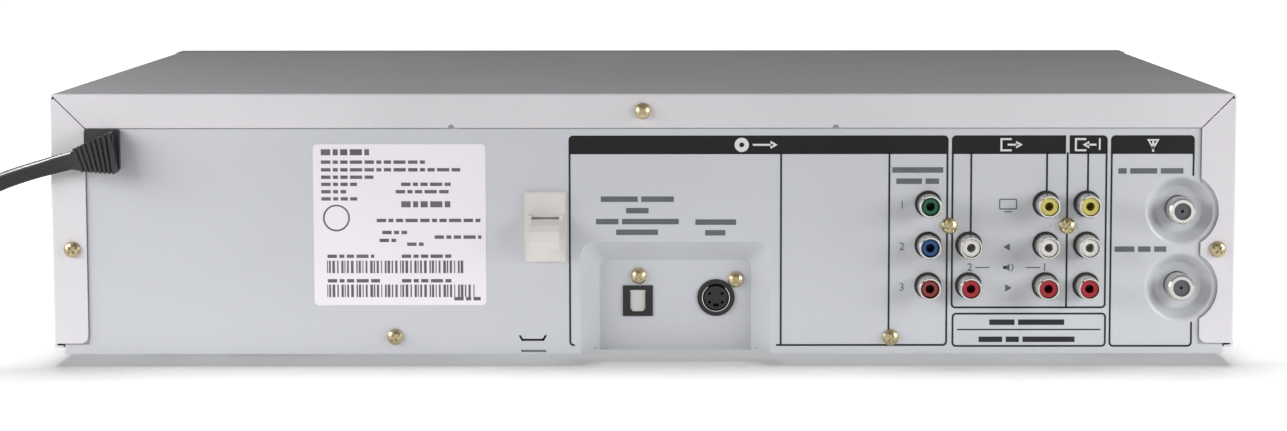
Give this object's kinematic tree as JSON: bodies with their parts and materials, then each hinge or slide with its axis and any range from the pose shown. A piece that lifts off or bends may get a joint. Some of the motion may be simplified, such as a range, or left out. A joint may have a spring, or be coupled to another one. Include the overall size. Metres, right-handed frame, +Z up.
{
  "type": "dvd and vcr combo player",
  "caption": "Free-standing disc and tape player with a sliding disc tray, a cassette door, a row of rear sockets and a fixed power lead.",
  "frame": {"origin": "middle of the cabinet's footprint, on the surface that the feet stand on, measured without the power lead", "axes": "+Z up, +X to the right seen from the front, +Y towards the rear sockets"},
  "size_m": [0.5725, 0.284, 0.0995],
  "materials": {
    "top_cover": "satin silver paint",
    "bottom_chassis": "zinc-coated sheet",
    "rear_panel": "matt silver paint",
    "front_bezel": "silver moulding",
    "feet": "moulded",
    "panel_screws": "yellow zinc",
    "display_window": "smoked",
    "display_tube": "clear",
    "front_board": "phenolic board",
    "power_button": "silver moulding",
    "eject_button": "silver moulding",
    "rewind_button": "silver moulding",
    "tape_play_button": "silver moulding",
    "forward_button": "silver moulding",
    "record_button": "silver moulding",
    "open_button": "silver moulding",
    "disc_play_button": "silver moulding",
    "disc_stop_button": "silver moulding",
    "cassette_flap": "silver moulding",
    "rca_housings": "moulded",
    "rca_shells": "nickel",
    "rca_cores": "coloured by channel",
    "s_video_socket": "moulded",
    "optical_socket": "moulded",
    "optical_shutter": "moulded",
    "f_connectors": "nickel",
    "tuner_module": "tinned",
    "cord_clamp": "nylon",
    "cord_bushing": "soft vinyl",
    "main_board": "phenolic board",
    "power_board": "phenolic board",
    "power_parts": "taped coils and cans",
    "dvd_board": "green solder mask",
    "flat_cables": "ribbon",
    "vcr_deck": "zinc-coated",
    "drum_base": "turned",
    "head_drum": "turned",
    "tape_path": "posts and heads",
    "drive_motors": "plated cans",
    "capstan": "ground",
    "pinch_lever": "zinc-coated",
    "pinch_roller": "ground",
    "supply_reel": "acetal",
    "take_up_reel": "acetal",
    "carrier_lifter": "zinc-coated",
    "cassette_carrier": "zinc-coated",
    "loader_frame": "moulded",
    "clamp_bridge": "zinc-coated",
    "disc_clamp": "acetal",
    "disc_tray": "moulded",
    "tray_fascia": "silver moulding",
    "tray_gear": "acetal",
    "motor_pinion": "acetal",
    "sled_base": "moulded, with steel rods",
    "disc_turntable": "moulded",
    "pickup": "die cast",
    "lead_screw": "rolled",
    "cord_runs": "vinyl sheath",
    "cord_coil": "vinyl sheath",
    "power_plug": "moulded vinyl with brass blades"
  },
  "bodies": {
    "cabinet": {"top_cover": "top_cover", "bottom_chassis": "bottom_chassis", "rear_panel": "rear_panel", "front_bezel": "front_bezel", "feet": "feet", "panel_screws": "panel_screws", "display_window": "display_window", "display_tube": "display_tube", "front_board": "front_board", "rca_housings": "rca_housings", "rca_shells": "rca_shells", "rca_cores": "rca_cores", "s_video_socket": "s_video_socket", "optical_socket": "optical_socket", "f_connectors": "f_connectors", "tuner_module": "tuner_module", "cord_clamp": "cord_clamp", "cord_bushing": "cord_bushing", "main_board": "main_board", "power_board": "power_board", "power_parts": "power_parts", "dvd_board": "dvd_board", "flat_cables": "flat_cables", "vcr_deck": "vcr_deck", "drum_base": "drum_base", "tape_path": "tape_path", "drive_motors": "drive_motors", "loader_frame": "loader_frame", "clamp_bridge": "clamp_bridge", "cord_runs": "cord_runs", "cord_coil": "cord_coil", "power_plug": "power_plug"},
    "tray": {"disc_tray": "disc_tray", "tray_fascia": "tray_fascia"},
    "tray_gear": {"tray_gear": "tray_gear"},
    "motor_pinion": {"motor_pinion": "motor_pinion"},
    "flap": {"cassette_flap": "cassette_flap"},
    "lifter": {"carrier_lifter": "carrier_lifter"},
    "carrier": {"cassette_carrier": "cassette_carrier"},
    "head_drum": {"head_drum": "head_drum"},
    "capstan": {"capstan": "capstan"},
    "pinch_lever": {"pinch_lever": "pinch_lever"},
    "pinch_roller": {"pinch_roller": "pinch_roller"},
    "supply_reel": {"supply_reel": "supply_reel"},
    "take_up_reel": {"take_up_reel": "take_up_reel"},
    "sled": {"sled_base": "sled_base"},
    "turntable": {"disc_turntable": "disc_turntable"},
    "pickup": {"pickup": "pickup"},
    "lead_screw": {"lead_screw": "lead_screw"},
    "disc_clamp": {"disc_clamp": "disc_clamp"},
    "shutter": {"optical_shutter": "optical_shutter"},
    "power_button": {"power_button": "power_button"},
    "eject_button": {"eject_button": "eject_button"},
    "rewind_button": {"rewind_button": "rewind_button"},
    "tape_play_button": {"tape_play_button": "tape_play_button"},
    "forward_button": {"forward_button": "forward_button"},
    "record_button": {"record_button": "record_button"},
    "open_button": {"open_button": "open_button"},
    "disc_play_button": {"disc_play_button": "disc_play_button"},
    "disc_stop_button": {"disc_stop_button": "disc_stop_button"}
  },
  "joints": [
    {"name": "tray_slide", "type": "slide", "parent": "cabinet", "child": "tray", "axis": [0, -1, 0], "range_m": [0, 0.15]},
    {"name": "tray_gear_turn", "type": "hinge", "parent": "cabinet", "child": "tray_gear", "pos_m": [0.0635, -0.102, 0.06], "axis": [0, 0, 1], "range_deg": [0, 975]},
    {"name": "motor_pinion_turn", "type": "hinge", "parent": "cabinet", "child": "motor_pinion", "pos_m": [0.078, -0.102, 0.061], "axis": [0, 0, 1], "range_deg": [-2560, 0]},
    {"name": "flap_swing", "type": "hinge", "parent": "cabinet", "child": "flap", "pos_m": [-0.105, -0.1366, 0.0882], "axis": [1, 0, 0], "range_deg": [0, 84], "stiffness_Nm_per_rad": 0.01},
    {"name": "lifter_down", "type": "slide", "parent": "cabinet", "child": "lifter", "axis": [0, 0, -1], "range_m": [0, 0.022]},
    {"name": "carrier_in", "type": "slide", "parent": "lifter", "child": "carrier", "axis": [0, 1, 0], "range_m": [0, 0.032]},
    {"name": "drum_spin", "type": "hinge", "parent": "cabinet", "child": "head_drum", "pos_m": [-0.105, 0.027, 0.0335], "axis": [0, 0.1028, 0.9947], "continuous": true},
    {"name": "capstan_spin", "type": "hinge", "parent": "cabinet", "child": "capstan", "pos_m": [-0.045, 0.004, 0.02], "axis": [0, 0, 1], "continuous": true},
    {"name": "lever_swing", "type": "hinge", "parent": "cabinet", "child": "pinch_lever", "pos_m": [-0.026, 0.014, 0.034], "axis": [0, 0, 1], "range_deg": [0, 25]},
    {"name": "roller_spin", "type": "hinge", "parent": "pinch_lever", "child": "pinch_roller", "pos_m": [-0.0408, 0.0166, 0.045], "axis": [0, 0, 1], "continuous": true},
    {"name": "supply_reel_spin", "type": "hinge", "parent": "cabinet", "child": "supply_reel", "pos_m": [-0.151, -0.056, 0.034], "axis": [0, 0, 1], "continuous": true},
    {"name": "take_up_reel_spin", "type": "hinge", "parent": "cabinet", "child": "take_up_reel", "pos_m": [-0.059, -0.056, 0.034], "axis": [0, 0, 1], "continuous": true},
    {"name": "sled_lift", "type": "hinge", "parent": "cabinet", "child": "sled", "pos_m": [0.11, 0.042, 0.061], "axis": [-1, 0, 0], "range_deg": [0, 5]},
    {"name": "turntable_spin", "type": "hinge", "parent": "sled", "child": "turntable", "pos_m": [0.11, -0.05806, 0.05727], "axis": [0, -0.0872, 0.9962], "continuous": true},
    {"name": "pickup_travel", "type": "slide", "parent": "sled", "child": "pickup", "axis": [0, 0.9962, 0.0872], "range_m": [0, 0.034]},
    {"name": "lead_screw_spin", "type": "hinge", "parent": "sled", "child": "lead_screw", "pos_m": [0.141, -0.0202, 0.06058], "axis": [0, 0.9962, 0.0872], "range_deg": [0, 4200]},
    {"name": "disc_clamp_spin", "type": "hinge", "parent": "cabinet", "child": "disc_clamp", "pos_m": [0.11, -0.058, 0.08], "axis": [0, 0, 1], "continuous": true},
    {"name": "shutter_swing", "type": "hinge", "parent": "cabinet", "child": "shutter", "pos_m": [0.0023, 0.1226, 0.02605], "axis": [-1, 0, 0], "range_deg": [0, 80], "stiffness_Nm_per_rad": 0.0004},
    {"name": "power_button_press", "type": "slide", "parent": "cabinet", "child": "power_button", "axis": [0, 1, 0], "range_m": [0, 0.0008], "stiffness_N_per_m": 400},
    {"name": "eject_button_press", "type": "slide", "parent": "cabinet", "child": "eject_button", "axis": [0, 1, 0], "range_m": [0, 0.0008], "stiffness_N_per_m": 400},
    {"name": "rewind_button_press", "type": "slide", "parent": "cabinet", "child": "rewind_button", "axis": [0, 1, 0], "range_m": [0, 0.0008], "stiffness_N_per_m": 400},
    {"name": "tape_play_button_press", "type": "slide", "parent": "cabinet", "child": "tape_play_button", "axis": [0, 1, 0], "range_m": [0, 0.0008], "stiffness_N_per_m": 400},
    {"name": "forward_button_press", "type": "slide", "parent": "cabinet", "child": "forward_button", "axis": [0, 1, 0], "range_m": [0, 0.0008], "stiffness_N_per_m": 400},
    {"name": "record_button_press", "type": "slide", "parent": "cabinet", "child": "record_button", "axis": [0, 1, 0], "range_m": [0, 0.0008], "stiffness_N_per_m": 400},
    {"name": "open_button_press", "type": "slide", "parent": "cabinet", "child": "open_button", "axis": [0, 1, 0], "range_m": [0, 0.0008], "stiffness_N_per_m": 400},
    {"name": "disc_play_button_press", "type": "slide", "parent": "cabinet", "child": "disc_play_button", "axis": [0, 1, 0], "range_m": [0, 0.0008], "stiffness_N_per_m": 400},
    {"name": "disc_stop_button_press", "type": "slide", "parent": "cabinet", "child": "disc_stop_button", "axis": [0, 1, 0], "range_m": [0, 0.0008], "stiffness_N_per_m": 400}
  ],
  "couplings": [
    {"joint": "tray_gear_turn", "follows": "tray_slide", "rad_per_m": 111.11},
    {"joint": "motor_pinion_turn", "follows": "tray_slide", "rad_per_m": -291.67},
    {"joint": "lead_screw_spin", "follows": "pickup_travel", "rad_per_m": 2094.4}
  ]
}
